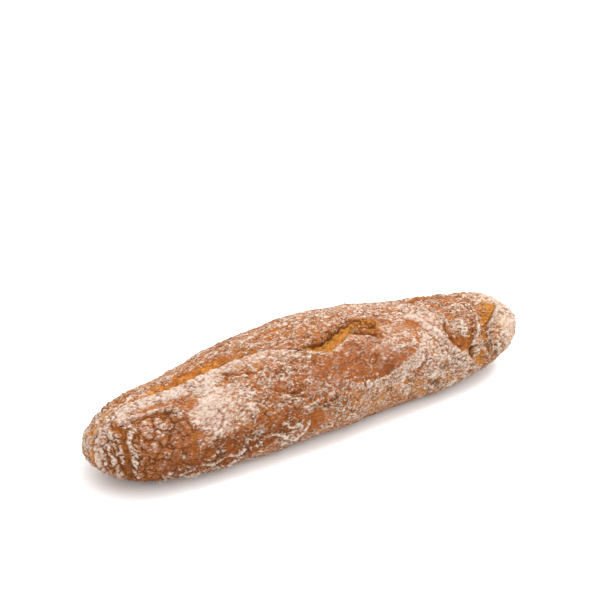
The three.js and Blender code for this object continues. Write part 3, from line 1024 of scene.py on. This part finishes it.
class StageSettings(bpy.types.PropertyGroup):
    """The floor, the lights and the camera."""

    floor: colour_property("Floor", "Pale floor", (0.96, 0.96, 0.96))
    sky: bpy.props.FloatProperty(name="Sky", description="Strength of the even light",
                                 default=1.46, min=0)
    key: bpy.props.FloatProperty(name="Key light", description="Power of the large lamp",
                                 default=11.4, min=0, subtype="POWER", unit="POWER")
    azimuth: bpy.props.FloatProperty(name="Azimuth", description="Camera's turn about the loaf",
                                     default=math.radians(-42), subtype="ANGLE", unit="ROTATION")
    elevation: bpy.props.FloatProperty(name="Elevation", description="Camera's height angle",
                                       default=math.radians(33), subtype="ANGLE", unit="ROTATION")
    roll: bpy.props.FloatProperty(name="Roll", description="Camera's tilt about its view",
                                  default=math.radians(8.8), subtype="ANGLE", unit="ROTATION")
    distance: bpy.props.FloatProperty(name="Distance", description="Camera to loaf", default=1.5,
                                      subtype="DISTANCE", unit="LENGTH")
    lens: bpy.props.FloatProperty(name="Lens", description="Focal length in millimetres",
                                  default=133.0, subtype="DISTANCE_CAMERA")
    aim: bpy.props.FloatVectorProperty(name="Aim", description="Point at the picture's middle",
                                       default=(0.0082, 0.0246, 0.0701), subtype="XYZ",
                                       unit="LENGTH")


class BREAD_OT_loaf(bpy.types.Operator):
    """Make the loaf's crust: skin, cut, tears, crackle, flour and material"""

    bl_idname = "bread.loaf"
    bl_label = "Make loaf"

    def execute(self, context):
        settings = context.scene.bread_loaf
        skin = Skin(settings.ring_count)
        for lay in (lay_swells, lay_flour_baking_and_shade, lay_leaf_edge, lay_cut, lay_lines, lay_tear,
                    lay_rubble, lay_opening, lay_flakes, lay_plates, lay_wrinkles, lay_grain):
            lay(skin)
        points = loaf_points(skin)
        quads, triangles = loaf_faces(skin.shape)
        mesh = make_mesh("loaf_crust", points, quads, triangles, loaf_uv(skin, quads, triangles))
        if len(mesh.vertices) != len(points):
            raise RuntimeError("the loaf's mesh lost points")
        skin.flour = FLOUR_BARE + skin.flour / FLOUR_RANGE
        for name in MASKS:
            values = getattr(skin, name).reshape(skin.shape)
            ends = [values[0].mean(), values[-1].mean()]
            add_mask(mesh, name, np.concatenate([values.ravel(), ends]))
        mesh.materials.append(crust_material(settings))
        loaf = bpy.data.objects.new("loaf_crust", mesh)
        context.scene.collection.objects.link(loaf)
        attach(loaf, "root")
        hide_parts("loaf")
        return {"FINISHED"}


def facing(location, target, up_hint):
    """The matrix of something at a location that faces a target: its back points away from the
    target, its right is the hint crossed with its back, and its up is the back crossed with it."""
    back = np.array(location, float) - np.array(target, float)
    back /= np.linalg.norm(back)
    right = np.cross(up_hint, back)
    right /= np.linalg.norm(right)
    matrix = np.eye(4)
    matrix[:3] = np.stack([right, np.cross(back, right), back, location], axis=1)
    return Matrix(matrix.tolist())


def add_camera(scene, settings):
    """The camera stands back from the loaf's middle by its azimuth, elevation and distance, looks
    at the aim point, and tilts its up by the roll."""
    turn, rise, roll = settings.azimuth, settings.elevation, settings.roll
    level = math.cos(rise)
    back = np.array([math.sin(turn) * level, -math.cos(turn) * level, math.sin(rise)])
    right = np.array([math.cos(turn), math.sin(turn), 0])
    up = math.cos(roll) * np.cross(back, right) - math.sin(roll) * right
    middle = np.array([0, 0, TURN_HEIGHT_SHARE * LOAF_HIGH[2]])
    data = bpy.data.cameras.new("camera")
    data.lens = settings.lens
    data.sensor_width = SENSOR_WIDTH
    camera = bpy.data.objects.new("camera", data)
    scene.collection.objects.link(camera)
    camera.matrix_world = facing(middle + settings.distance * back, settings.aim, up)
    scene.camera = camera


def add_lamp(scene, settings):
    """A large square lamp that faces the loaf."""
    data = bpy.data.lights.new("key", "AREA")
    data.shape = "SQUARE"
    data.size = LAMP_SIDE
    data.energy = settings.key
    lamp = bpy.data.objects.new("key", data)
    scene.collection.objects.link(lamp)
    lamp.matrix_world = facing(LAMP_PLACE, LAMP_TARGET, (0, 1, 0.01))


def add_sky(scene, settings):
    """Even light, whose brightness is a level plus a rise times the height of its direction."""
    world = bpy.data.worlds.new("soft_sky")
    nodes = Nodes(world)
    way = nodes.add("ShaderNodeTexCoord").outputs["Generated"]
    height = nodes.add("ShaderNodeSeparateXYZ", {0: way}).outputs["Z"]
    glow = nodes.times(nodes.math("MULTIPLY_ADD", height, SKY_RISE, SKY_LEVEL), settings.sky)
    sky = nodes.add("ShaderNodeBackground", {"Strength": glow})
    nodes.add("ShaderNodeOutputWorld", {"Surface": sky.outputs[0]})
    scene.world = world


def add_floor(scene, settings):
    """A square of card a hair under the loaf."""
    mesh = bpy.data.meshes.new("floor")
    corners = [(x * FLOOR_HALF, y * FLOOR_HALF, -FLOOR_DROP)
               for x, y in ((-1, -1), (1, -1), (1, 1), (-1, 1))]
    mesh.from_pydata(corners, [], [(0, 1, 2, 3)])
    mesh.materials.append(floor_material(settings))
    floor = bpy.data.objects.new("floor", mesh)
    scene.collection.objects.link(floor)


class BREAD_OT_stage(bpy.types.Operator):
    """Make the pale floor, the soft light and the camera"""

    bl_idname = "bread.stage"
    bl_label = "Make stage"

    def execute(self, context):
        scene = context.scene
        settings = scene.bread_stage
        for add in (add_floor, add_sky, add_lamp, add_camera):
            add(scene, settings)
        scene.view_settings.view_transform = "Standard"
        if scene.camera is None or scene.world is None:
            raise RuntimeError("the stage has no camera or no sky")
        return {"FINISHED"}


class BREAD_PT_panel(bpy.types.Panel):
    """The sidebar's list of what can be made, with its sizes and colours"""

    bl_idname = "BREAD_PT_panel"
    bl_label = "Rustic baguette"
    bl_space_type = "VIEW_3D"
    bl_region_type = "UI"
    bl_category = "Bread"

    def draw(self, context):
        for group, operator in ((context.scene.bread_loaf, "bread.loaf"),
                                (context.scene.bread_stage, "bread.stage")):
            box = self.layout.box()
            for key in group.__annotations__:
                box.prop(group, key)
            box.operator(operator)


CLASSES = (LoafSettings, StageSettings, BREAD_OT_loaf, BREAD_OT_stage, BREAD_PT_panel)


def register():
    """Register the classes and hang the settings on the scene."""
    for item in CLASSES:
        bpy.utils.register_class(item)
    bpy.types.Scene.bread_loaf = bpy.props.PointerProperty(type=LoafSettings)
    bpy.types.Scene.bread_stage = bpy.props.PointerProperty(type=StageSettings)


def unregister():
    """Take the settings and the classes away again."""
    del bpy.types.Scene.bread_loaf
    del bpy.types.Scene.bread_stage
    for item in reversed(CLASSES):
        bpy.utils.unregister_class(item)


def main():
    """Make everything in order."""
    register()
    bpy.ops.bread.loaf()
    bpy.ops.bread.stage()


if __name__ == "__main__":
    main()
